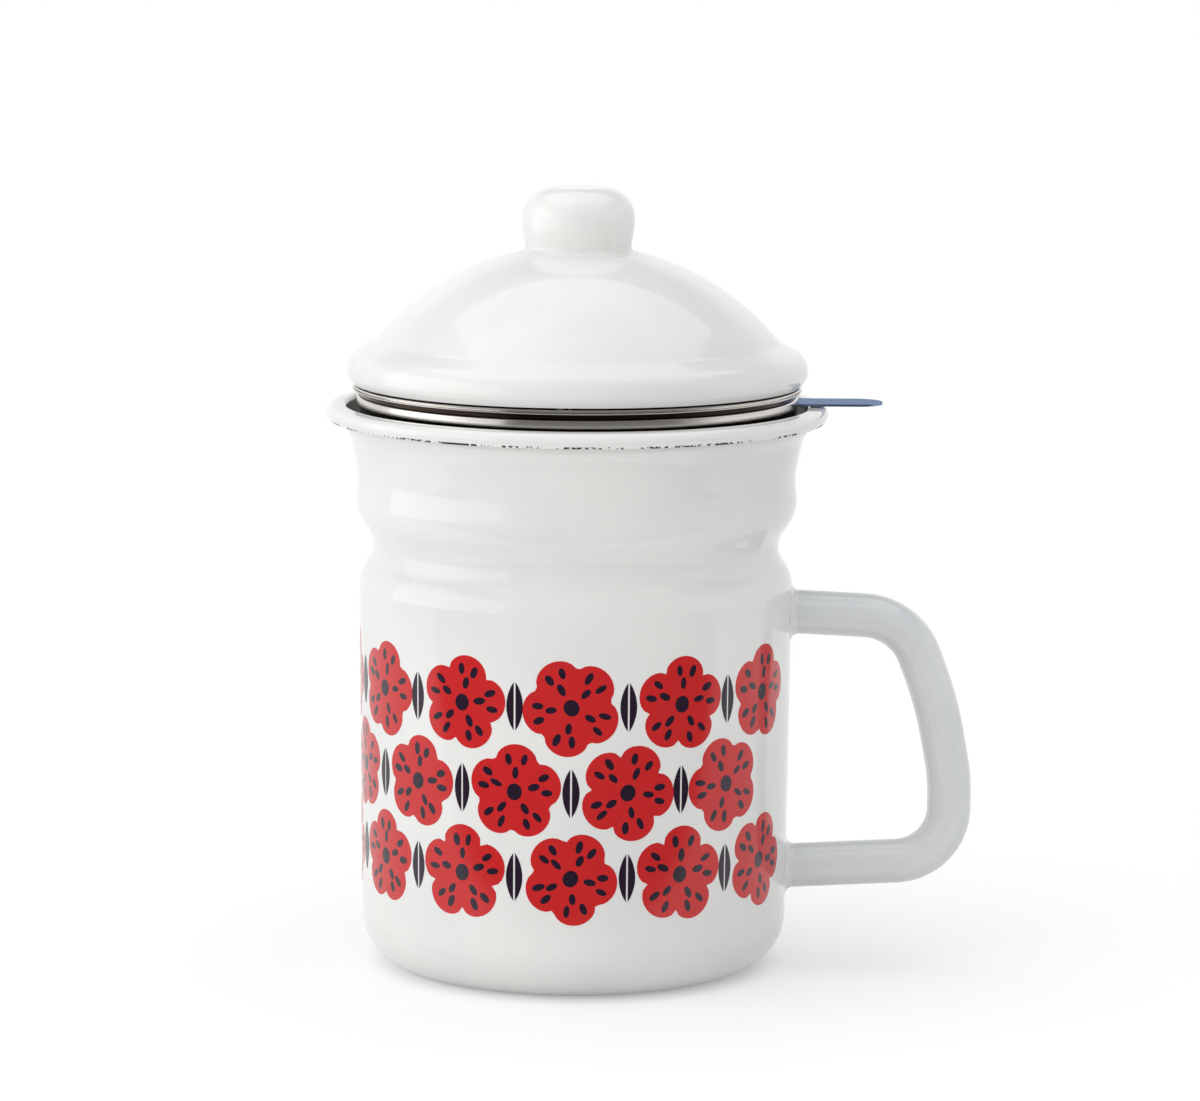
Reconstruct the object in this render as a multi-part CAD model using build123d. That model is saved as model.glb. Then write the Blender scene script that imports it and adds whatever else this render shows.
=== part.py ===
from build123d import *
from math import asin, degrees, sqrt
import os

# An enamelled steel grease pot with a hollow loop handle, a stainless strainer
# that hangs in its neck, and a domed lid that rests on the strainer's lip.
# Millimetres, +Z up. The origin is the centre of the foot on the table, and
# the handle and the strainer's tab both point along +X.

# --- Pot, one deep-drawn sheet, sizes to its outside ---
pot_sheet = 1.2              # steel with its enamel on both faces
body_radius = 59.1           # at the shoulder
body_draft = 1.0             # how much narrower the wall is at the floor
foot_corner = 14.0           # rounding between the floor and the wall
foot_ring_inset = 8.1        # flat floor's edge in to the stiffening ring
foot_ring_width = 5.0
foot_ring_rise = 1.0
foot_ring_rounding = 2.0
shoulder_height = 107.9
shoulder_rounding = 9.5
groove_drop = 8.0            # shoulder up to the root of the waist groove
groove_inset = 5.4
groove_rounding = 7.6
bulge_rise = 9.9             # groove up to the bulge above it
bulge_outset = 1.3
bulge_rounding = 11.0
neck_rise = 9.3              # bulge up to the narrowest part of the neck
neck_outset = 0.4
neck_rounding = 15.0
flare_rise = 10.4            # neck up to where it starts to flare
flare_outset = 2.4
flare_rounding = 6.0
mouth_rise = 3.6             # flare up to the upright mouth
mouth_outset = 4.8
mouth_rounding = 4.5
roll_rise = 2.5              # mouth up to the centre of the rolled rim
roll_radius = 2.9            # over the enamel
roll_tuck = 50.0             # degrees that the edge turns in past level
floor_band_height = 16.0     # the sheet's bands butt at this height
neck_band_drop = 3.8         # and at this far below the shoulder

# --- Handle, two pressed half shells welded along the middle ---
handle_depth = 12.0          # across the grip, seen from the side
handle_width = 15.0          # side to side
handle_sheet = 1.1
handle_top_drop = 10.4       # shoulder down to the upper arm's root
handle_foot_height = 26.6    # floor up to the lower arm's root
handle_arm_slope = 2.8       # degrees that each arm leans to the middle
handle_top_reach = 31.0      # wall out to the upper bend
handle_reach = 44.0          # wall out to the upright
handle_knee_reach = 40.0     # wall out to the bend within the upright
handle_knee_share = 0.32     # of the height between the roots, upper bend to knee
handle_plumb_share = 0.302   # and from the knee to where the upright is plumb
handle_top_bend = 0.24       # bend radii, as shares of the same height
handle_knee_bend = 1.48
handle_plumb_bend = 0.71
handle_foot_bend = 0.212
handle_weld = 2.2            # fillet of weld and enamel round each root

# --- Strainer, stainless sheet ---
strainer_sheet = 0.6
mouth_gap = 2.3              # strainer's bead to the pot's mouth
neck_gap = 0.3               # strainer's wall to the pot's neck, its seat
bead_standoff = 0.3          # pot's rim up to the foot of the bead
bead_height = 2.3
bead_depth = 1.1
bead_flank = 0.6
bead_rounding = 0.85
recess_height = 1.4
recess_depth = 0.75          # bead in to the recess over it
recess_rounding = 0.4
lip_overhang = 1.4           # recess out to the hemmed lip
hem_height = 1.4
hem_return = 1.5
cup_depth = 34.4             # bead down to the mesh seat
cup_corner = 5.0
mesh_seat_width = 5.0
mesh_thickness = 0.7
mesh_edge_gap = 0.3
clamp_ring_thickness = 0.6
clamp_ring_width = 4.4

# --- Strainer's lifting tab, bent from strip ---
tab_thickness = 0.6
tab_width = 14.0
tab_reach = 23.8             # strainer's wall out to the tip
tab_foot = 6.0
tab_rim_gap = 0.3            # over the pot's rolled rim

# --- Lid, one pressed and enamelled sheet ---
lid_sheet = 1.2
lid_gap = 0.3                # strainer's lip up to the lid's underside
lid_bead_overhang = 1.6      # lip out to the lid's bead
lid_bead_width = 8.0         # lid's edge in to where the dome springs
lid_bead_rise = 11.6         # underside up to there
lid_bead_fall = 26.5         # degrees that the bead's top leans down
dome_rise = 25.8             # and on up to the top of the dome
valley_rounding = 3.0
lid_bead_top_rounding = 5.6
lid_bead_foot_rounding = 3.5
skirt_gap = 0.5              # lid's skirt to the strainer's wall
skirt_depth = 7.5
skirt_rounding = 0.8
vent_diameter = 4.0          # lets the closed knob breathe in the kiln

# --- Knob, a hollow drawn cap welded on the dome ---
knob_sheet = 1.1
knob_radius = 15.3
knob_rise = 15.8             # over the top of the dome
knob_crown = 8.6
knob_side = 2.0              # crown down to where the side turns in
knob_belly_rounding = 20.0
knob_neck_inset = 1.1
knob_neck_rounding = 1.6
knob_flange = 2.2            # neck out to the edge, along the dome
knob_edge = 0.05             # to which the edge is drawn out on the dome


def turned_sheet(outline, thickness, side):
    """Shell of revolution whose sheet lies on one side of the outline of its face."""
    section = outline.offset_2d(thickness, side=side, closed=True)
    return revolve(Plane.XZ * make_face(section), Axis.Z)


def turned_solid(outline):
    """Everything between an outline and the upright axis."""
    start, end = outline @ 0, outline @ 1
    closing = [Line(end, (0, end.Y)), Line((0, end.Y), (0, start.Y))]
    if start.X > 0:
        closing.append(Line((0, start.Y), start))
    return revolve(Plane.XZ * make_face(outline.edges() + closing), Axis.Z)


def ring(outer, inner, bottom, thickness):
    """Flat washer about the upright axis."""
    blank = Cylinder(outer, thickness, align=(Align.CENTER, Align.CENTER, Align.MIN))
    hole = Cylinder(inner, thickness, align=(Align.CENTER, Align.CENTER, Align.MIN))
    return Pos(0, 0, bottom) * (blank - hole)


# --- Heights and radii that several pieces share ---
groove_height = shoulder_height + groove_drop
bulge_height = groove_height + bulge_rise
neck_height = bulge_height + neck_rise
flare_height = neck_height + flare_rise
mouth_height = flare_height + mouth_rise
roll_height = mouth_height + roll_rise
rim_top = roll_height + roll_radius
neck_bore = body_radius + neck_outset - pot_sheet
mouth_bore = body_radius + mouth_outset - pot_sheet

# --- Pot ---
floor_edge = body_radius - body_draft - foot_corner
foot_ring_radius = floor_edge - foot_ring_inset
pot_wall = FilletPolyline(
    (0, 0),
    (foot_ring_radius - foot_ring_width / 2, 0),
    (foot_ring_radius, foot_ring_rise),
    (foot_ring_radius + foot_ring_width / 2, 0),
    (body_radius - body_draft, 0),
    (body_radius, shoulder_height),
    (body_radius - groove_inset, groove_height),
    (body_radius + bulge_outset, bulge_height),
    (body_radius + neck_outset, neck_height),
    (body_radius + flare_outset, flare_height),
    (body_radius + mouth_outset, mouth_height),
    (body_radius + mouth_outset, roll_height),
    radius=[
        foot_ring_rounding,
        foot_ring_rounding,
        foot_ring_rounding,
        foot_corner,
        shoulder_rounding,
        groove_rounding,
        bulge_rounding,
        neck_rounding,
        flare_rounding,
        mouth_rounding,
    ],
)
rim_roll = JernArc(
    start=pot_wall @ 1,
    tangent=pot_wall % 1,
    radius=roll_radius - pot_sheet,
    arc_size=-(180 + roll_tuck),
)
pot_envelope = turned_solid(pot_wall)

# The one sheet is kept as four bands that butt face to face: the floor with its
# corner, the straight wall, the shaped neck and the rolled rim.
drawn_sheet = turned_sheet(Wire(pot_wall.edges()), pot_sheet, Side.LEFT)
floor_joint = Plane.XY.offset(floor_band_height)
neck_joint = Plane.XY.offset(shoulder_height - neck_band_drop)
pot_floor = split(drawn_sheet, bisect_by=floor_joint, keep=Keep.BOTTOM)
above_floor = split(drawn_sheet, bisect_by=floor_joint, keep=Keep.TOP)
pot_body = split(above_floor, bisect_by=neck_joint, keep=Keep.BOTTOM)
pot_neck = split(above_floor, bisect_by=neck_joint, keep=Keep.TOP)
pot_rim = turned_sheet(Wire(rim_roll.edges()), pot_sheet, Side.LEFT)

# --- Handle ---
upper_root = shoulder_height - handle_top_drop
lower_root = handle_foot_height
root_span = upper_root - lower_root
arm_fall = Vector(1, 0, 0).rotate(Axis.Y, handle_arm_slope)
arm_rise = Vector(1, 0, 0).rotate(Axis.Y, -handle_arm_slope)
buried = pot_sheet           # the blank starts within the wall and is trimmed to it


def along_arm(root, direction, reach):
    """Point on an arm's centre line, so far out from the wall."""
    return Vector(body_radius, 0, root) + direction * (reach / direction.X)


upper_bend = along_arm(upper_root, arm_fall, handle_top_reach)
knee_height = upper_bend.Z - handle_knee_share * root_span
plumb_height = knee_height - handle_plumb_share * root_span
knee = Vector(body_radius + handle_knee_reach, 0, knee_height)
plumb = Vector(body_radius + handle_reach, 0, plumb_height)
lower_bend = along_arm(lower_root, arm_rise, handle_reach)
handle_line = FilletPolyline(
    along_arm(upper_root, arm_fall, -buried),
    upper_bend,
    knee,
    plumb,
    lower_bend,
    along_arm(lower_root, arm_rise, -buried - body_draft),
    radius=[
        handle_top_bend * root_span,
        handle_knee_bend * root_span,
        handle_plumb_bend * root_span,
        handle_foot_bend * root_span,
    ],
)
grip_plane = Plane(handle_line @ 0, x_dir=(0, 1, 0), z_dir=handle_line % 0)
grip_outside = Ellipse(handle_width / 2, handle_depth / 2)
grip_inside = Ellipse(handle_width / 2 - handle_sheet, handle_depth / 2 - handle_sheet)


def handle_half(side):
    """Pressed half of the grip, on one side of its middle plane, trimmed to the wall."""
    half_plane = Rectangle(handle_width, handle_width, align=(side, Align.CENTER))
    section = grip_plane * ((grip_outside - grip_inside) & half_plane)
    return sweep(section, path=handle_line) - pot_envelope


handle_front = handle_half(Align.MAX)
handle_rear = handle_half(Align.MIN)
handle_blank = sweep(grip_plane * grip_outside, path=handle_line)
pot_with_handle = pot_envelope + handle_blank
root_edges = [
    edge
    for edge in pot_with_handle.edges()
    if edge.geom_type not in (GeomType.CIRCLE, GeomType.LINE)
    and abs(edge.center().X - body_radius) < handle_depth / 2
    and abs(edge.center().Y) < handle_width
]
filled_roots = fillet(root_edges, handle_weld)
lower_weld, upper_weld = (filled_roots - pot_with_handle).solids().sort_by(Axis.Z)

# --- Strainer ---
bead_foot = rim_top + bead_standoff
bead_radius = mouth_bore - mouth_gap
wall_top_radius = bead_radius - bead_depth
cup_floor = bead_foot - cup_depth
seat_radius = neck_bore - neck_gap
wall_lean = (wall_top_radius - seat_radius) / (bead_foot - neck_height)
cup_radius = wall_top_radius - wall_lean * cup_depth
recess_radius = bead_radius - recess_depth
bead_top = bead_foot + bead_height
lip_foot = bead_top + recess_height
lip_top = lip_foot + hem_height
lip_radius = recess_radius + lip_overhang
mesh_seat_radius = cup_radius - cup_corner - mesh_seat_width

strainer_wall = FilletPolyline(
    (mesh_seat_radius, cup_floor),
    (cup_radius, cup_floor),
    (wall_top_radius, bead_foot),
    (bead_radius, bead_foot + bead_flank),
    (bead_radius, bead_top - bead_flank),
    (recess_radius, bead_top),
    (recess_radius, lip_foot),
    (lip_radius - hem_height / 2, lip_foot),
    radius=[
        cup_corner,
        recess_rounding,
        bead_rounding,
        bead_rounding,
        recess_rounding,
        recess_rounding,
    ],
)
hem_fold = JernArc(
    start=strainer_wall @ 1,
    tangent=strainer_wall % 1,
    radius=hem_height / 2,
    arc_size=180,
)
hem_end = Line(hem_fold @ 1, hem_fold @ 1 - (hem_return, 0))
strainer_line = Wire(strainer_wall.edges() + hem_fold.edges() + hem_end.edges())
strainer_frame = turned_sheet(strainer_line, strainer_sheet, Side.LEFT)
strainer_envelope = turned_solid(strainer_wall)

mesh_floor = cup_floor + strainer_sheet
mesh_radius = cup_radius - cup_corner - mesh_edge_gap
strainer_mesh = Pos(0, 0, mesh_floor) * Cylinder(
    mesh_radius, mesh_thickness, align=(Align.CENTER, Align.CENTER, Align.MIN)
)
clamp_ring = ring(
    mesh_radius,
    mesh_radius - clamp_ring_width,
    mesh_floor + mesh_thickness,
    clamp_ring_thickness,
)

# --- Tab ---
tab_bottom = rim_top + tab_rim_gap
tab_tip = wall_top_radius + tab_reach
tab_straight = tab_tip - tab_width / 2
tab_blank = Rectangle(tab_straight, tab_width, align=(Align.MIN, Align.CENTER))
tab_plate = extrude(tab_blank + Pos(tab_straight, 0) * Circle(tab_width / 2), tab_thickness)
foot_line = Line(
    (wall_top_radius - wall_lean * tab_foot, bead_foot - tab_foot),
    (wall_top_radius + wall_lean * tab_thickness, bead_foot + tab_thickness),
)
foot_blank = turned_sheet(Wire(foot_line.edges()), tab_thickness, Side.RIGHT)
foot_strip = Box(
    tab_tip,
    tab_width,
    tab_bottom + tab_thickness,
    align=(Align.MIN, Align.CENTER, Align.MIN),
)
tab_blanks = Pos(0, 0, tab_bottom) * tab_plate + (foot_blank & foot_strip)
strainer_tab = tab_blanks - strainer_envelope

# --- Lid ---
lid_foot = lip_top + lid_gap
lid_radius = lip_radius + lid_bead_overhang
skirt_radius = wall_top_radius - strainer_sheet - skirt_gap
dome_reach = lid_radius - lid_bead_width
dome_radius = (dome_reach**2 + dome_rise**2) / (2 * dome_rise)
dome_sweep = degrees(asin(dome_reach / dome_radius))
dome_top = lid_foot + lid_bead_rise + dome_rise

dome = JernArc(
    start=(0, dome_top), tangent=(1, 0), radius=dome_radius, arc_size=-dome_sweep
)
valley = JernArc(
    start=dome @ 1,
    tangent=dome % 1,
    radius=valley_rounding,
    arc_size=dome_sweep - lid_bead_fall,
)
brim_slope = (valley % 1).Y / (valley % 1).X
brim_corner_height = (valley @ 1).Y + brim_slope * (lid_radius - (valley @ 1).X)
brim = FilletPolyline(
    valley @ 1,
    (lid_radius, brim_corner_height),
    (lid_radius, lid_foot),
    (skirt_radius, lid_foot),
    (skirt_radius, lid_foot - skirt_depth),
    radius=[lid_bead_top_rounding, lid_bead_foot_rounding, skirt_rounding],
)
lid_line = Wire(dome.edges() + valley.edges() + brim.edges())
vent = Pos(0, 0, dome_top) * Cylinder(vent_diameter / 2, lid_sheet * 4)
lid_shell = turned_sheet(lid_line, lid_sheet, Side.RIGHT) - vent

# --- Knob ---
knob_top = dome_top + knob_rise
knob_belly = knob_top - knob_crown - knob_side
knob_neck_radius = knob_radius - knob_neck_inset
knob_edge_radius = knob_neck_radius + knob_flange
dome_centre = dome_top - dome_radius
dome_drop = sqrt(dome_radius**2 - knob_edge_radius**2)
knob_edge_height = dome_centre + dome_drop + knob_edge
knob_neck = knob_edge_height + knob_flange * knob_edge_radius / dome_drop
knob_line = FilletPolyline(
    (0, knob_top),
    (knob_radius, knob_top),
    (knob_radius, knob_belly),
    (knob_neck_radius, knob_neck),
    (knob_edge_radius, knob_edge_height),
    radius=[knob_crown, knob_belly_rounding, knob_neck_rounding],
)
dome_ball = Pos(0, 0, dome_centre) * Sphere(dome_radius)
lid_knob = turned_sheet(Wire(knob_line.edges()), knob_sheet, Side.RIGHT) - dome_ball

parts = {
    "pot_floor": pot_floor,
    "pot_body": pot_body,
    "pot_neck": pot_neck,
    "pot_rim": pot_rim,
    "handle_front_half": handle_front,
    "handle_rear_half": handle_rear,
    "handle_weld_lower": lower_weld,
    "handle_weld_upper": upper_weld,
    "strainer_frame": strainer_frame,
    "strainer_mesh": strainer_mesh,
    "mesh_clamp_ring": clamp_ring,
    "strainer_tab": strainer_tab,
    "lid_shell": lid_shell,
    "lid_knob": lid_knob,
}
os.makedirs("parts", exist_ok=True)
for name, shape in parts.items():
    export_step(shape, f"parts/{name}.step")
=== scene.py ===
import math
import random

import bmesh
import bpy
from mathutils import Matrix, Vector


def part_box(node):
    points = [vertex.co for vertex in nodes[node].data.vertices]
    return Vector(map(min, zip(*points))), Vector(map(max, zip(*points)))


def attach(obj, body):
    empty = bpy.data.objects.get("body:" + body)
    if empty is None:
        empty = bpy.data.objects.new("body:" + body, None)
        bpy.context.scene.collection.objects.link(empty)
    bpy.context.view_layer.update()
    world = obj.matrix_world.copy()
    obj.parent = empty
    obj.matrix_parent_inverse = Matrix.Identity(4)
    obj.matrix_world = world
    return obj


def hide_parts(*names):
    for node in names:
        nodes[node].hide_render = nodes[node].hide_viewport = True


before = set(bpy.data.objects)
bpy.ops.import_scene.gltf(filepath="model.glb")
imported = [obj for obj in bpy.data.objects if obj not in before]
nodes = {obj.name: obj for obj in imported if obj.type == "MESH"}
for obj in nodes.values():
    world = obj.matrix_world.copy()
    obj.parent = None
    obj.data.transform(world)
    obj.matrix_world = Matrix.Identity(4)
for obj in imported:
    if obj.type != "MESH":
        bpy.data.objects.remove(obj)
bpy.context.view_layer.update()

# An enamelled grease pot with a strainer and a domed lid. The rim, the print, the
# strainer's frame, its wire cloth and the lid are made here. The other CAD nodes
# show as they are and get their finishes. Metres, +Z up, the handle along +X.


# --- Pot body -----------------------------------------------------------------
# Floor, wall and neck, deep-drawn from one steel sheet, with white porcelain enamel
# fired on both faces. The glass is faintly wavy and a little thinner in places.

mm = 0.001
enamel_white = (0.855, 0.855, 0.835, 1)
enamel_thin = (0.775, 0.78, 0.775, 1)
enamel_gloss = (0.07, 0.13)          # roughness, from the smoothest spots to the dullest
glass_ior = 1.52
thin_spots, thin_range = 1.7, (0.35, 0.8)    # size in waves, and the noise that shows
dull_spots, dull_range = 0.6, (0.3, 0.75)


def feed(tree, socket, value):
    """Links another node's socket, or sets a plain value."""
    if isinstance(value, bpy.types.NodeSocket):
        tree.links.new(value, socket)
    else:
        socket.default_value = value


def calc(tree, operation, *values):
    """Result of a Math node."""
    node = tree.nodes.new("ShaderNodeMath")
    node.operation = operation
    for socket, value in zip(node.inputs, values):
        feed(tree, socket, value)
    return node.outputs[0]


def span(tree, value, low, high, to_low=0.0, to_high=1.0):
    """Value moved smoothly from one range to another and held at its ends."""
    node = tree.nodes.new("ShaderNodeMapRange")
    node.interpolation_type = "SMOOTHSTEP"
    for name, number in (
        ("Value", value),
        ("From Min", low),
        ("From Max", high),
        ("To Min", to_low),
        ("To Max", to_high),
    ):
        feed(tree, node.inputs[name], number)
    return node.outputs["Result"]


def speckle(tree, place, size, detail=2.0, roughness=0.5):
    """Noise about 0.5 whose lumps are about size across."""
    node = tree.nodes.new("ShaderNodeTexNoise")
    feed(tree, node.inputs["Vector"], place)
    feed(tree, node.inputs["Scale"], calc(tree, "DIVIDE", 1.0, size))
    node.inputs["Detail"].default_value = detail
    node.inputs["Roughness"].default_value = roughness
    return node.outputs["Fac"]


def tint(tree, amount, first, second):
    """Mix of two colours."""
    node = tree.nodes.new("ShaderNodeMix")
    node.data_type = "RGBA"
    feed(tree, node.inputs["Factor"], amount)
    feed(tree, node.inputs["A"], first)
    feed(tree, node.inputs["B"], second)
    return node.outputs["Result"]


def place_on(tree):
    """Place of each point on the object, in metres."""
    return tree.nodes.new("ShaderNodeTexCoord").outputs["Object"]


def effect(name, inputs, outputs):
    """Empty node group with named values going in and named results coming out."""
    tree = bpy.data.node_groups.new(name, "ShaderNodeTree")
    for label, value in inputs.items():
        socket = tree.interface.new_socket(label, in_out="INPUT", socket_type="NodeSocketFloat")
        socket.default_value = value
    for label in outputs:
        tree.interface.new_socket(label, in_out="OUTPUT", socket_type="NodeSocketFloat")
    given = tree.nodes.new("NodeGroupInput").outputs
    results = tree.nodes.new("NodeGroupOutput").inputs
    return tree, given, results, place_on(tree)


def use(tree, group, **values):
    """Places an effect in a material with that material's own values."""
    node = tree.nodes.new("ShaderNodeGroup")
    node.node_tree = group
    for label, value in values.items():
        node.inputs[label.replace("_", " ")].default_value = value
    return node.outputs


def finish(name, colour, roughness, metallic=0.0, ior=1.5):
    """New material with a Principled shader set to plain values."""
    material = bpy.data.materials.new(name)
    material.use_nodes = True
    shader = material.node_tree.nodes["Principled BSDF"]
    shader.inputs["Base Color"].default_value = colour
    shader.inputs["Roughness"].default_value = roughness
    shader.inputs["Metallic"].default_value = metallic
    shader.inputs["IOR"].default_value = ior
    return material, material.node_tree, shader


def relief(tree, shader, height):
    """Surface relief from a height in metres."""
    bump = tree.nodes.new("ShaderNodeBump")
    bump.inputs["Distance"].default_value = 1.0
    feed(tree, bump.inputs["Height"], height)
    feed(tree, shader.inputs["Normal"], bump.outputs["Normal"])


def coat(node_name, material):
    """Gives a CAD node its finish."""
    mesh = nodes[node_name].data
    mesh.materials.clear()
    mesh.materials.append(material)


fired_glass, given, results, place = effect(
    "fired_glass",
    {"Wave Size": 0.03, "Wave Depth": 2e-5, "Peel Size": 0.002, "Peel Depth": 6e-7},
    ["Height", "Thinness", "Polish"],
)
wave = calc(fired_glass, "SUBTRACT", speckle(fired_glass, place, given["Wave Size"]), 0.5)
peel = calc(fired_glass, "SUBTRACT", speckle(fired_glass, place, given["Peel Size"]), 0.5)
wave_height = calc(fired_glass, "MULTIPLY", wave, given["Wave Depth"])
peel_height = calc(fired_glass, "MULTIPLY", peel, given["Peel Depth"])
feed(fired_glass, results["Height"], calc(fired_glass, "ADD", wave_height, peel_height))
thin_size = calc(fired_glass, "MULTIPLY", given["Wave Size"], thin_spots)
thinness = speckle(fired_glass, place, thin_size, detail=4.0)
feed(fired_glass, results["Thinness"], span(fired_glass, thinness, *thin_range))
dull_size = calc(fired_glass, "MULTIPLY", given["Wave Size"], dull_spots)
smears = speckle(fired_glass, place, dull_size, detail=5.0, roughness=0.65)
feed(fired_glass, results["Polish"], span(fired_glass, smears, *dull_range))


def enamel(name, white, thin, edge=None, **glass):
    """White enamel, darkened along an edge where one is given: bare ground coat on the rim, painted
    shade on the lid.
    """
    material, tree, shader = finish(name, white, roughness=0.1, ior=glass_ior)
    skin = use(tree, fired_glass, **glass)
    colour = tint(tree, skin["Thinness"], white, thin)
    rough = span(tree, skin["Polish"], 0.0, 1.0, *enamel_gloss)
    if edge:
        bare_and_shade = use(tree, bare_and_shaded_edge, **edge)["Bare"]
        colour = tint(tree, bare_and_shade, colour, ground_coat_and_shade)
        rough = calc(tree, "MULTIPLY_ADD", bare_and_shade, dark_edge_dullness, rough)
    feed(tree, shader.inputs["Base Color"], colour)
    feed(tree, shader.inputs["Roughness"], rough)
    relief(tree, shader, skin["Height"])
    return material


pot_enamel = enamel("pot_enamel", enamel_white, enamel_thin, Wave_Size=34 * mm, Wave_Depth=0.03 * mm)
for node_name in ("pot_floor", "pot_body", "pot_neck"):
    coat(node_name, pot_enamel)


# --- Rolled rim ---------------------------------------------------------------
# The mouth of the same sheet, rolled out and down to a flat-topped hem. On its cut
# edge the glass draws back, so the dark ground coat shows as a broken line.

# Dark ground coat: bare at the rim's cut edge, and used as painted shade at the lid's skirt.
ground_coat_and_shade = (0.008, 0.006, 0.007, 1)
dark_edge_dullness = 0.4           # roughness that it has over the glass
rim_edge = (67.50, 150.30)           # out and up to the cut edge, in millimetres
rim_section = (                      # corners, out and up, and their roundings
    (62.66, 150.40, 0),
    (62.66, 154.55, 1.3),
    (69.60, 154.10, 2.0),
    (67.50, 150.30, 0.1),
    (66.35, 150.55, 0.1),
    (67.30, 152.95, 0.8),
    (63.92, 153.30, 0.6),
    (63.92, 150.40, 0),
)
least_dark, dark_gain = 0.65, -0.3   # level that runs must pass, and what Cover takes off it
run_weight = 0.7
dot_edge = (0.55, 0.58)


def parts(tree, vector):
    """The X, Y and Z of a vector."""
    node = tree.nodes.new("ShaderNodeSeparateXYZ")
    feed(tree, node.inputs[0], vector)
    return node.outputs


def diagonal(tree, first, second):
    """Root of the sum of two squares."""
    squares = calc(tree, "MULTIPLY_ADD", first, first, calc(tree, "MULTIPLY", second, second))
    return calc(tree, "SQRT", squares)


# Dark band round a ring edge: bare ground coat in dots and runs on the rim, painted shade as a solid
# band on the lid.
bare_and_shaded_edge, given, results, place = effect(
    "bare_and_shaded_edge",
    {"Edge Radius": 0.05, "Edge Height": 0.0, "Band": 0.0005, "Dot": 0.001, "Run": 0.01, "Cover": 0.5},
    ["Bare"],
)
out_x, out_y, up = parts(bare_and_shaded_edge, place)
beside = calc(bare_and_shaded_edge, "SUBTRACT", diagonal(bare_and_shaded_edge, out_x, out_y), given["Edge Radius"])
above = calc(bare_and_shaded_edge, "SUBTRACT", up, given["Edge Height"])
distance = diagonal(bare_and_shaded_edge, beside, above)
dots = speckle(bare_and_shaded_edge, place, given["Dot"], roughness=0.6)
runs = speckle(bare_and_shaded_edge, place, given["Run"], detail=0.0)
limit = calc(bare_and_shaded_edge, "MULTIPLY_ADD", given["Cover"], dark_gain, least_dark)
depth = calc(bare_and_shaded_edge, "MULTIPLY_ADD", calc(bare_and_shaded_edge, "SUBTRACT", runs, limit), run_weight, dots)
reach = calc(bare_and_shaded_edge, "MULTIPLY", span(bare_and_shaded_edge, depth, *dot_edge), given["Band"])
feed(bare_and_shaded_edge, results["Bare"], calc(bare_and_shaded_edge, "LESS_THAN", distance, reach))


def rounded(corners, steps=6):
    """Closed outline with its corners rounded, in metres."""
    outline = []
    count = len(corners)
    for i, (out, up, rounding) in enumerate(corners):
        corner = Vector((out, up))
        if rounding == 0:
            outline.append(corner * mm)
            continue
        back = (Vector(corners[i - 1][:2]) - corner).normalized()
        ahead = (Vector(corners[(i + 1) % count][:2]) - corner).normalized()
        half = back.angle(ahead) / 2
        centre = corner + (back + ahead).normalized() * rounding / math.sin(half)
        start = corner + back * rounding / math.tan(half) - centre
        end = corner + ahead * rounding / math.tan(half) - centre
        for step in range(steps + 1):
            spoke = start.lerp(end, step / steps).normalized()
            outline.append((centre + spoke * rounding) * mm)
    return outline


def made(name, mesh, material, crease=None):
    """Object from a built mesh, smooth except where it turns by more than crease degrees."""
    bmesh.ops.recalc_face_normals(mesh, faces=mesh.faces)
    data = bpy.data.meshes.new(name)
    mesh.to_mesh(data)
    mesh.free()
    data.shade_smooth()
    if crease:
        data.set_sharp_from_angle(angle=math.radians(crease))
    data.materials.append(material)
    piece = bpy.data.objects.new(name, data)
    bpy.context.scene.collection.objects.link(piece)
    return piece


def turned(name, outline, material, turns=288):
    """Ring with a closed section, turned about the upright axis."""
    mesh = bmesh.new()
    loops = []
    for turn in range(turns):
        angle = 2 * math.pi * turn / turns
        loop = [
            mesh.verts.new((out * math.cos(angle), out * math.sin(angle), up)) for out, up in outline
        ]
        loops.append(loop)
    count = len(outline)
    for i, loop in enumerate(loops):
        after = loops[(i + 1) % turns]
        for j in range(count):
            k = (j + 1) % count
            mesh.faces.new((loop[j], after[j], after[k], loop[k]))
    return made(name, mesh, material, crease=35)


rim_enamel = enamel(
    "rim_enamel",
    enamel_white,
    enamel_thin,
    {
        "Edge_Radius": rim_edge[0] * mm,
        "Edge_Height": rim_edge[1] * mm,
        "Band": 0.65 * mm,
        "Dot": 1.1 * mm,
        "Run": 11 * mm,
        "Cover": 0.5,
    },
    Wave_Size=34 * mm,
    Wave_Depth=0.03 * mm,
)
rolled_rim = turned("rolled_rim", rounded(rim_section), rim_enamel)
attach(rolled_rim, "pot")
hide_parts("pot_rim")


# --- Print --------------------------------------------------------------------
# Ceramic transfers fired into the gloss: staggered rows of red five-petalled
# blossoms with navy stamens, and slim navy leaves between them. They lie a few
# hundredths of a millimetre proud, and stop short of the handle.

wall_foot_radius = 58.1 * mm
wall_top_radius = 59.1 * mm
wall_top = 107.9 * mm
print_lift = 0.03 * mm
print_sunk = 0.12 * mm
print_red = (0.615, 0.014, 0.015, 1)
print_red_faded = (0.55, 0.014, 0.016, 1)
print_navy = (0.013, 0.003, 0.017, 1)
print_navy_faded = (0.020, 0.008, 0.026, 1)
print_gloss = (0.09, 0.16)
mottle_size, mottle_range = 1.1 * mm, (0.42, 0.8)

row_heights = (34.5 * mm, 57.5 * mm, 80.5 * mm)
columns = 11
bare_strip = math.radians(31.5)      # middle of the handle to the first column
column_step = (2 * math.pi - 2 * bare_strip) / (columns - 1)

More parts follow.
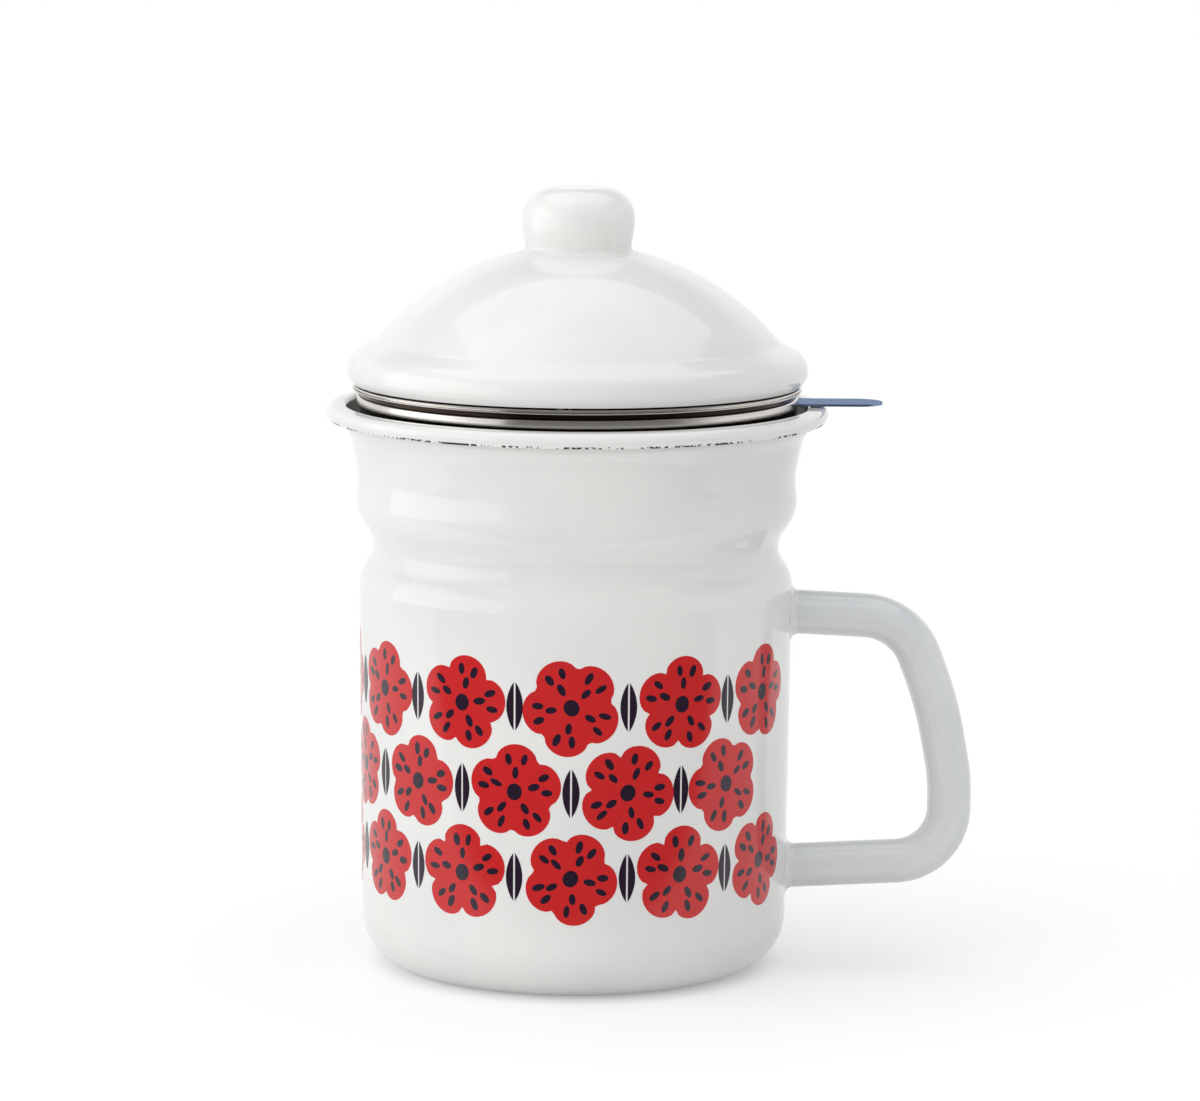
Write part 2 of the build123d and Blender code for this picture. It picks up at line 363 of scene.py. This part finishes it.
blossom_radius = 13.0 * mm
blossom_shares = (0.96, 1.02)        # of that radius, from the smallest to the largest
blossom_turn = 0.5                   # radians that one may be turned either way
blossom_rings = 9
petals = 5
petal_notch = 0.30                   # how far the outline dips between petals

eye_length, eye_width = 4.6 * mm, 4.2 * mm
stamen_places = ((0.42, 0.0), (0.70, -0.22), (0.70, 0.22))    # share of the radius, and lean
stamen_shift, stamen_lean = 0.02, 0.05                        # how far each may be off these
stamen_lengths = (3.0, 3.6)          # shortest and longest, in millimetres
stamen_widths = (1.6, 2.0)
stamen_rings = 2
stamen_rise = 0.8                    # in print lifts over the red

leaf_length = 13.0 * mm
leaf_width = 4.6 * mm
leaf_midrib = 0.5 * mm
leaf_fullness = 0.8                  # below 1 the leaf is broader near its tips
leaf_rings = 3


def wall_point(around, height, lift):
    """Point on the pot's wall, lifted off it."""
    out = wall_foot_radius + (wall_top_radius - wall_foot_radius) * height / wall_top + lift
    return Vector((out * math.cos(around), out * math.sin(around), height))


def add_motif(mesh, middle, outline, rings):
    """Lays a flat outline on the wall as a thin closed skin, in rings about its middle."""
    around, height = middle
    count = len(outline)
    reach = [(step + 1) / rings for step in range(rings)]

    def at(point, share, lift):
        turn = point[0] * share / wall_top_radius
        return wall_point(around + turn, height + point[1] * share, lift)

    layers = [[at(p, share, print_lift) for p in outline] for share in reach]
    layers += [[at(p, share, -print_sunk) for p in outline] for share in reversed(reach)]
    top = mesh.verts.new(at((0, 0), 0, print_lift))
    bottom = mesh.verts.new(at((0, 0), 0, -print_sunk))
    loops = [[mesh.verts.new(point) for point in layer] for layer in layers]
    for i in range(count):
        j = (i + 1) % count
        mesh.faces.new((top, loops[0][i], loops[0][j]))
        for inner, outer in zip(loops, loops[1:]):
            mesh.faces.new((inner[i], outer[i], outer[j], inner[j]))
        mesh.faces.new((bottom, loops[-1][j], loops[-1][i]))


def finish_print(mesh, name, material):
    """Turns a built print into an object on the pot."""
    piece = made(name, mesh, material, crease=50)
    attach(piece, "pot")


def blossom_outline(radius, turn, points=60):
    """Five rounded petals."""
    outline = []
    for i in range(points):
        angle = 2 * math.pi * i / points
        lobe = math.sqrt(abs(math.cos(petals / 2 * (angle - turn))))
        out = radius * (1 - petal_notch + petal_notch * lobe)
        outline.append((out * math.cos(angle), out * math.sin(angle)))
    return outline


def seed_outline(distance, direction, length, width, points=14):
    """Small oval pointing away from a blossom's middle, as (middle, outline)."""
    middle = (distance * math.cos(direction), distance * math.sin(direction))
    outline = []
    for i in range(points):
        angle = 2 * math.pi * i / points
        along, across = length / 2 * math.cos(angle), width / 2 * math.sin(angle)
        outline.append(
            (
                along * math.cos(direction) - across * math.sin(direction),
                along * math.sin(direction) + across * math.cos(direction),
            )
        )
    return middle, outline


def half_leaf(side, points=11):
    """One side of a pointed leaf, beside its midrib, as (middle, outline)."""
    edge = []
    for i in range(points):
        share = i / (points - 1)
        bulge = math.sin(math.pi * share) ** leaf_fullness
        out = leaf_midrib / 2 + (leaf_width - leaf_midrib) / 2 * bulge
        edge.append((side * out, leaf_length * (share - 0.5)))
    rib = [(side * leaf_midrib / 2, y) for _, y in reversed(edge[1:-1])]
    middle = (side * leaf_width / 4, 0.0)
    outline = [(x - middle[0], y) for x, y in edge + rib]
    return middle, outline


def transfer(name, strong, faded):
    """Fired ceramic colour under gloss, with a fine screened mottle."""
    material, tree, shader = finish(name, strong, roughness=0.12, ior=glass_ior)
    skin = use(tree, fired_glass, Wave_Size=34 * mm, Wave_Depth=0.03 * mm)
    grains = speckle(tree, place_on(tree), mottle_size, detail=6.0, roughness=0.7)
    mottle = span(tree, grains, *mottle_range)
    feed(tree, shader.inputs["Base Color"], tint(tree, mottle, strong, faded))
    feed(tree, shader.inputs["Roughness"], span(tree, skin["Polish"], 0.0, 1.0, *print_gloss))
    relief(tree, shader, skin["Height"])
    return material


hand = random.Random(11)
blossoms, stamens, leaves = bmesh.new(), bmesh.new(), bmesh.new()
for row, row_height in enumerate(row_heights):
    staggered = row % 2
    for column in range(columns - staggered):
        around = bare_strip + column_step * (column + staggered / 2)
        turn = hand.uniform(-blossom_turn, blossom_turn) + math.pi / 2
        size = blossom_radius * hand.uniform(*blossom_shares)
        add_motif(blossoms, (around, row_height), blossom_outline(size, turn), blossom_rings)
        seeds = [seed_outline(0.0, turn, eye_length, eye_width)]
        for petal in range(petals):
            direction = turn + 2 * math.pi * petal / petals
            for distance, lean in stamen_places:
                lean += hand.uniform(-stamen_lean, stamen_lean)
                seeds.append(
                    seed_outline(
                        size * (distance + hand.uniform(-stamen_shift, stamen_shift)),
                        direction + lean,
                        hand.uniform(*stamen_lengths) * mm,
                        hand.uniform(*stamen_widths) * mm,
                    )
                )
        for (across, up_by), outline in seeds:
            centre = (around + across / wall_top_radius, row_height + up_by)
            add_motif(stamens, centre, outline, stamen_rings)
    for column in range(columns - staggered - 1):
        around = bare_strip + column_step * (column + staggered / 2 + 0.5)
        for side in (-1, 1):
            (across, up_by), outline = half_leaf(side)
            centre = (around + across / wall_top_radius, row_height + up_by)
            add_motif(leaves, centre, outline, leaf_rings)

for vert in stamens.verts:
    out = Vector((vert.co.x, vert.co.y, 0))
    vert.co += out.normalized() * print_lift * stamen_rise

red_transfer = transfer("red_transfer", print_red, print_red_faded)
navy_transfer = transfer("navy_transfer", print_navy, print_navy_faded)
finish_print(blossoms, "print_blossoms", red_transfer)
finish_print(stamens, "print_stamens", navy_transfer)
finish_print(leaves, "print_leaves", navy_transfer)


# --- Handle -------------------------------------------------------------------
# Two pressed half shells, butt-welded along their middle plane and enamelled with
# the pot. The seam stays as a faint ridge round the grip, and each root stands in
# a smooth collar of weld and glass.

# Painted shade: the grip and its welds wear the pot's enamel, made greyer and cooler as if in the
# pot's shadow.
shaded_grip_white = (0.745, 0.765, 0.78, 1)
shaded_grip_thin = (0.685, 0.705, 0.72, 1)
shaded_weld_white = (0.785, 0.80, 0.80, 1)
seam_width = 1.1 * mm
seam_rise = 0.05 * mm

shaded_handle_enamel, tree, shader = finish("shaded_handle_enamel", shaded_grip_white, roughness=0.1, ior=glass_ior)
skin = use(tree, fired_glass, Wave_Size=22 * mm, Wave_Depth=0.04 * mm)
feed(tree, shader.inputs["Base Color"], tint(tree, skin["Thinness"], shaded_grip_white, shaded_grip_thin))
feed(tree, shader.inputs["Roughness"], span(tree, skin["Polish"], 0.0, 1.0, *enamel_gloss))
off_seam = calc(tree, "ABSOLUTE", parts(tree, place_on(tree))["Y"])
ridge = span(tree, off_seam, 0.0, seam_width, seam_rise, 0.0)
relief(tree, shader, calc(tree, "ADD", skin["Height"], ridge))
for node_name in ("handle_front_half", "handle_rear_half"):
    coat(node_name, shaded_handle_enamel)

shaded_weld_enamel = enamel("shaded_weld_enamel", shaded_weld_white, shaded_grip_white, Wave_Size=9 * mm, Wave_Depth=0.04 * mm)
for node_name in ("handle_weld_lower", "handle_weld_upper"):
    coat(node_name, shaded_weld_enamel)


# --- Strainer frame and clamp ring --------------------------------------------
# Stainless sheet, spun to a cup with a hemmed lip, a recess and a bead, and a ring
# spot-welded over the edge of the mesh. Both keep the circular marks of spinning.
# The lip's top, the recess and the wall under the bead are darkened brown: painted
# shade, standing for the shadows under the lid, the lip and the bead.

steel = (0.72, 0.69, 0.66, 1)
steel_dull = (0.56, 0.53, 0.50, 1)
steel_gloss = (0.14, 0.24)
# Painted shade: the dark brown laid on the shaded parts of the frame.
painted_shade_brown = (0.032, 0.021, 0.018, 1)
frame_section = (                    # corners, out and up, and their roundings
    (47.03, 120.40, 0),
    (57.03, 120.40, 4.6),
    (59.27, 154.30, 0.1),
    (60.05, 154.45, 0.5),
    (60.05, 157.00, 0.7),
    (59.40, 157.10, 0.1),
    (59.40, 158.35, 0.1),
    (60.95, 158.35, 0.25),
    (61.15, 158.80, 0.15),
    (60.35, 158.92, 0.02),
    (60.35, 159.14, 0.02),
    (61.15, 159.30, 0.15),
    (60.80, 159.72, 0.2),
    (58.80, 159.72, 0.1),
    (58.80, 157.00, 0.1),
    (59.45, 156.75, 0.2),
    (59.45, 155.00, 0.2),
    (58.67, 154.70, 0.1),
    (56.45, 121.00, 4.0),
    (47.03, 121.00, 0),
)
recess_middle = 157.75 * mm
recess_half = 0.68 * mm
recess_shade_fade = 1.15                   # in half heights, where the painted shade has faded out
shaded_wall_span = (151.0 * mm, 154.5 * mm)         # lowest and highest painted shade on the wall
lip_top = 159.68 * mm
worn_lines = 6.0                     # pitches across a band of brighter or duller marks
worn_range = (0.3, 0.7)

spun_marks, given, results, place = effect(
    "spun_marks",
    {"Pitch": 0.0002, "Depth": 1.5e-6, "Drift": 0.004},
    ["Height", "Wear"],
)
out_x, out_y, up = parts(spun_marks, place)
radius = diagonal(spun_marks, out_x, out_y)
slow = calc(spun_marks, "DIVIDE", given["Pitch"], calc(spun_marks, "MULTIPLY", given["Drift"], 2.0))
line_place = spun_marks.nodes.new("ShaderNodeCombineXYZ")
feed(spun_marks, line_place.inputs[0], calc(spun_marks, "ADD", radius, up))
feed(spun_marks, line_place.inputs[1], calc(spun_marks, "MULTIPLY", out_x, slow))
feed(spun_marks, line_place.inputs[2], calc(spun_marks, "MULTIPLY", out_y, slow))
lines = speckle(spun_marks, line_place.outputs[0], given["Pitch"], detail=3.0)
feed(spun_marks, results["Height"], calc(spun_marks, "MULTIPLY", lines, given["Depth"]))
broad_size = calc(spun_marks, "MULTIPLY", given["Pitch"], worn_lines)
broad = speckle(spun_marks, line_place.outputs[0], broad_size)
feed(spun_marks, results["Wear"], span(spun_marks, broad, *worn_range))

spun_steel, tree, shader = finish("spun_steel", steel, roughness=0.2, metallic=1.0)
marks = use(tree, spun_marks, Pitch=0.16 * mm, Depth=0.0012 * mm, Drift=9 * mm)
up = parts(tree, place_on(tree))["Z"]
# Painted shade in the recess, on the wall under the bead and on the lip's top.
from_recess = calc(tree, "ABSOLUTE", calc(tree, "SUBTRACT", up, recess_middle))
shade_in_recess = span(tree, from_recess, recess_half, recess_half * recess_shade_fade, 1.0, 0.0)
over_low = calc(tree, "GREATER_THAN", up, shaded_wall_span[0])
shade_below_bead = calc(tree, "MULTIPLY", over_low, calc(tree, "LESS_THAN", up, shaded_wall_span[1]))
shade_on_lip = calc(tree, "GREATER_THAN", up, lip_top)
painted_shade_mask = calc(tree, "MAXIMUM", calc(tree, "MAXIMUM", shade_in_recess, shade_below_bead), shade_on_lip)
worn = tint(tree, marks["Wear"], steel, steel_dull)
feed(tree, shader.inputs["Base Color"], tint(tree, painted_shade_mask, worn, painted_shade_brown))
feed(tree, shader.inputs["Roughness"], span(tree, marks["Wear"], 0.0, 1.0, *steel_gloss))
relief(tree, shader, marks["Height"])
coat("mesh_clamp_ring", spun_steel)
spun_frame = turned("spun_frame", rounded(frame_section), spun_steel)
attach(spun_frame, "strainer")
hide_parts("strainer_frame")


# --- Strainer mesh ------------------------------------------------------------
# Plain-woven stainless wire cloth, cut round. Each wire goes over and under the
# ones that cross it, and its ends are caught between the seat and the ring.

cloth_low, cloth_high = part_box("strainer_mesh")
cloth_trim = 0.3 * mm
cloth_radius = cloth_high.x - cloth_trim
cloth_height = (cloth_low.z + cloth_high.z) / 2
wire_diameter = 0.30 * mm
wire_pitch = 1.5 * mm
wire_weave = 0.17 * mm
wire_sides = 6
wire_gloss = (0.2, 0.34)
wire_marks, wire_mark_range = 2.5 * mm, (0.35, 0.7)


def add_wire(mesh, offset, along_x, phase):
    """One wire across the disc, waved over and under the wires it crosses."""
    half = math.sqrt(cloth_radius**2 - offset**2)
    steps = max(2, int(2 * half / (wire_pitch / 2)))
    loops = []
    for step in range(steps + 1):
        run = -half + 2 * half * step / steps
        rise = wire_weave * math.sin(math.pi * (run / wire_pitch + phase))
        loop = []
        for side in range(wire_sides):
            angle = 2 * math.pi * side / wire_sides
            across = offset + wire_diameter / 2 * math.cos(angle)
            height = cloth_height + rise + wire_diameter / 2 * math.sin(angle)
            point = (run, across, height) if along_x else (across, run, height)
            loop.append(mesh.verts.new(point))
        loops.append(loop)
    for first, second in zip(loops, loops[1:]):
        for side in range(wire_sides):
            after = (side + 1) % wire_sides
            mesh.faces.new((first[side], first[after], second[after], second[side]))
    mesh.faces.new(loops[0])
    mesh.faces.new(loops[-1])


cloth = bmesh.new()
wires = int(cloth_radius / wire_pitch)
for number in range(-wires, wires + 1):
    offset = number * wire_pitch
    add_wire(cloth, offset, True, number + 0.5)
    add_wire(cloth, offset, False, number - 0.5)

wire_steel, tree, shader = finish("wire_steel", steel, roughness=0.24, metallic=1.0)
drawn = speckle(tree, place_on(tree), wire_marks, detail=4.0)
drawn = span(tree, drawn, *wire_mark_range)
feed(tree, shader.inputs["Base Color"], tint(tree, drawn, steel, steel_dull))
feed(tree, shader.inputs["Roughness"], span(tree, drawn, 0.0, 1.0, *wire_gloss))
woven_mesh = made("woven_mesh", cloth, wire_steel)
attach(woven_mesh, "strainer")
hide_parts("strainer_mesh")


# --- Lifting tab --------------------------------------------------------------
# Stainless strip, blanked with a round end, bent down at the wall and spot-welded
# to it. It is brushed along its length. Its dark blue colour is a painted reflection
# of a cool surround, not a tint of the steel itself.

# Painted reflection: the dark blue stands for a cool surround seen in the steel.
tab_painted_blue = (0.24, 0.30, 0.42, 1)
tab_painted_blue_dull = (0.20, 0.26, 0.38, 1)
tab_painted_glance = (0.38, 0.48, 0.66, 1)
tab_gloss = (0.2, 0.3)
brush_pitch = 0.2 * mm
brush_depth = 0.001 * mm
brush_stretch = (0.03, 1.0, 1.0)     # long lines along the tab
brush_range = (0.3, 0.7)

brushed_tab, tree, shader = finish("brushed_tab", tab_painted_blue, roughness=0.25, metallic=1.0)
# Painted reflection: bluer still at glancing angles.
shader.inputs["Specular Tint"].default_value = tab_painted_glance
stretch = tree.nodes.new("ShaderNodeMapping")
stretch.inputs["Scale"].default_value = brush_stretch
feed(tree, stretch.inputs["Vector"], place_on(tree))
brushing = speckle(tree, stretch.outputs[0], brush_pitch, detail=3.0)
feed(tree, shader.inputs["Base Color"], tint(tree, brushing, tab_painted_blue, tab_painted_blue_dull))
feed(tree, shader.inputs["Roughness"], span(tree, brushing, *brush_range, *tab_gloss))
relief(tree, shader, calc(tree, "MULTIPLY", brushing, brush_depth))
coat("strainer_tab", brushed_tab)


# --- Lid and knob -------------------------------------------------------------
# One pressed sheet with a dome, a valley, a rolled-over bead and a skirt, and a
# hollow knob welded on top. Both wear the pot's enamel. The dark band at the corner
# between bead and skirt is painted shade for the gap over the strainer's lip.

dome_centre = 126.82                 # its height over the foot, in millimetres
dome_outside, dome_inside = 70.78, 69.58
dome_spring = math.radians(50.54)    # from the top out to the valley
vent_radius = 2.0
bead_outside = (                     # corners, out and up, and their roundings
    (55.06, 171.31, 2.9),
    (62.65, 167.52, 5.6),
    (62.65, 162.30, 3.4),
    (61.20, 160.22, 0.12),
    (58.20, 160.22, 0.6),
    (58.20, 152.70, 0.35),
)
bead_inside = (
    (57.00, 152.70, 0.35),
    (57.00, 161.50, 1.8),
    (60.50, 161.50, 0.5),
    (61.45, 162.90, 1.4),
    (61.45, 166.78, 4.4),
    (54.29, 170.35, 4.2),
)
shaded_skirt_corner = (58.4, 160.0)         # out and up, in millimetres, where the painted shade band lies


def dome_line(dome_radius, steps=48):
    """Half section of the dome's face from the vent out to the valley."""
    first = math.asin(vent_radius / dome_radius)
    points = []
    for step in range(steps + 1):
        angle = first + (dome_spring - first) * step / steps
        out = dome_radius * math.sin(angle)
        points.append((out, dome_centre + dome_radius * math.cos(angle), 0))
    return points


# Painted shade: a solid dark band at the skirt's corner, for the shadow in the gap over the strainer's
# lip.
lid_enamel = enamel(
    "lid_enamel",
    enamel_white,
    enamel_thin,
    {
        "Edge_Radius": shaded_skirt_corner[0] * mm,
        "Edge_Height": shaded_skirt_corner[1] * mm,
        "Band": 0.8 * mm,
        "Dot": 1.1 * mm,
        "Run": 11 * mm,
        "Cover": 2.0,
    },
    Wave_Size=30 * mm,
    Wave_Depth=0.03 * mm,
)
lid_section = dome_line(dome_outside) + list(bead_outside + bead_inside)
lid_section += reversed(dome_line(dome_inside))
pressed_lid = turned("pressed_lid", rounded(lid_section), lid_enamel, turns=216)
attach(pressed_lid, "lid")
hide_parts("lid_shell")

knob_enamel = enamel("knob_enamel", enamel_white, enamel_thin, Wave_Size=12 * mm, Wave_Depth=0.02 * mm)
coat("lid_knob", knob_enamel)


# --- Studio -------------------------------------------------------------------
# A pale table that fades into a white surround, a tall softbox at the left, a
# wide one overhead, and an even fill. The room in front and above is dim, which
# gives the steel its dark bands.

table_grey = (0.80, 0.80, 0.80, 1)
table_glow = 0.30
table_sheen = 0.1
table_reach = 0.8
fade_from, fade_to = 0.14, 0.36      # metres out over which the table turns white
front_edge = -0.12                   # beyond it a mirrored ray meets the dim room
front_fade = 0.04
room_dim = 0.2
backdrop_from, backdrop_to = -0.7, -0.05      # heading to the rear, where it starts and is full
ceiling_from, ceiling_to = 0.3, 0.65          # heading upward, where it ends
fill_level = 0.545
fill_from_front = 0.63
front_left = Vector((-0.25, -0.9, -0.35))

table_mesh = bmesh.new()
bmesh.ops.create_circle(table_mesh, cap_ends=True, segments=96, radius=table_reach)
table_data = bpy.data.meshes.new("table")
table_mesh.to_mesh(table_data)
table_mesh.free()
table = bpy.data.objects.new("table", table_data)
bpy.context.scene.collection.objects.link(table)


def mirrored_rays(tree):
    """1 for what is seen in a reflection or through glass."""
    rays = tree.nodes.new("ShaderNodeLightPath").outputs
    return calc(tree, "MAXIMUM", rays["Is Glossy Ray"], rays["Is Transmission Ray"])


def seen_rays(tree):
    """1 for what the camera sees, straight or by a reflection or through glass."""
    rays = tree.nodes.new("ShaderNodeLightPath").outputs
    return calc(tree, "MAXIMUM", rays["Is Camera Ray"], mirrored_rays(tree))


table_top, tree, shader = finish("table_top", table_grey, roughness=0.6)
seen = seen_rays(tree)
where = place_on(tree)
outward = tree.nodes.new("ShaderNodeVectorMath")
outward.operation = "LENGTH"
feed(tree, outward.inputs[0], where)
shader.inputs["Specular IOR Level"].default_value = table_sheen
shader.inputs["Emission Color"].default_value = (1, 1, 1, 1)
feed(tree, shader.inputs["Emission Strength"], calc(tree, "MULTIPLY", seen, table_glow))
white_out = tree.nodes.new("ShaderNodeEmission")
white_out.inputs["Strength"].default_value = 1.0
blend = tree.nodes.new("ShaderNodeMixShader")
far = span(tree, outward.outputs["Value"], fade_from, fade_to)
feed(tree, blend.inputs["Fac"], calc(tree, "MULTIPLY", far, seen))
feed(tree, blend.inputs[1], shader.outputs[0])
feed(tree, blend.inputs[2], white_out.outputs[0])
dim_room = tree.nodes.new("ShaderNodeEmission")
dim_room.inputs["Strength"].default_value = room_dim
past_edge = span(tree, parts(tree, where)["Y"], front_edge - front_fade, front_edge, 1.0, 0.0)
room_blend = tree.nodes.new("ShaderNodeMixShader")
feed(tree, room_blend.inputs["Fac"], calc(tree, "MULTIPLY", past_edge, mirrored_rays(tree)))
feed(tree, room_blend.inputs[1], blend.outputs[0])
feed(tree, room_blend.inputs[2], dim_room.outputs[0])
feed(tree, tree.nodes["Material Output"].inputs["Surface"], room_blend.outputs[0])
table_data.materials.append(table_top)

world = bpy.data.worlds.new("surround")
bpy.context.scene.world = world
world.use_nodes = True
tree = world.node_tree
heading = tree.nodes.new("ShaderNodeTexCoord").outputs["Generated"]
heading_parts = parts(tree, heading)
facing = tree.nodes.new("ShaderNodeVectorMath")
facing.operation = "DOT_PRODUCT"
feed(tree, facing.inputs[0], heading)
facing.inputs[1].default_value = front_left
ahead = calc(tree, "MAXIMUM", facing.outputs["Value"], 0.0)
fill = calc(tree, "MULTIPLY_ADD", ahead, fill_from_front, fill_level)
behind = span(tree, heading_parts["Y"], backdrop_from, backdrop_to)
below_ceiling = span(tree, heading_parts["Z"], ceiling_from, ceiling_to, 1.0, 0.0)
backdrop = calc(tree, "MULTIPLY", behind, below_ceiling)
mirrored = calc(tree, "MULTIPLY_ADD", backdrop, 1.0 - room_dim, room_dim)
rays = tree.nodes.new("ShaderNodeLightPath").outputs
by_light = calc(tree, "MULTIPLY", fill, calc(tree, "SUBTRACT", 1.0, seen_rays(tree)))
by_mirror = calc(tree, "MULTIPLY_ADD", mirrored, mirrored_rays(tree), by_light)
level = calc(tree, "MAXIMUM", by_mirror, rays["Is Camera Ray"])
surround = tree.nodes["Background"]
surround.inputs["Color"].default_value = (1, 1, 1, 1)
feed(tree, surround.inputs["Strength"], level)


def aimed(place, aim):
    """Where something stands and how it is turned when it looks from place to aim."""
    turn = (aim - place).to_track_quat("-Z", "Y").to_matrix().to_4x4()
    return Matrix.Translation(place) @ turn


def softbox(name, place, aim, width, height, brightness):
    """Rectangular soft light, set by how bright its face is, where 1 is white."""
    lamp = bpy.data.lights.new(name, "AREA")
    lamp.shape = "RECTANGLE"
    lamp.size = width
    lamp.size_y = height
    lamp.energy = brightness * math.pi * width * height
    light = bpy.data.objects.new(name, lamp)
    bpy.context.scene.collection.objects.link(light)
    light.visible_camera = False
    light.matrix_world = aimed(Vector(place), Vector(aim))


softbox(
    "left_softbox",
    place=(-0.72, -0.35, 0.31),
    aim=(0, -0.35, 0.31),
    width=1.2,
    height=0.60,
    brightness=0.95,
)
softbox(
    "top_softbox",
    place=(0.05, 0.08, 1.15),
    aim=(0.05, 0.08, 0),
    width=1.6,
    height=1.2,
    brightness=0.88,
)

lens = bpy.data.cameras.new("camera")
lens.lens = 160
lens.sensor_width = 36
camera = bpy.data.objects.new("camera", lens)
bpy.context.scene.collection.objects.link(camera)
eye = Vector((0, -1.4428, 0.3258))
aim = Vector((0.0065, 0, 0.1139))
camera_roll = 0.0079
camera.matrix_world = aimed(eye, aim) @ Matrix.Rotation(camera_roll, 4, "Z")
bpy.context.scene.camera = camera
bpy.context.scene.view_settings.view_transform = "Standard"
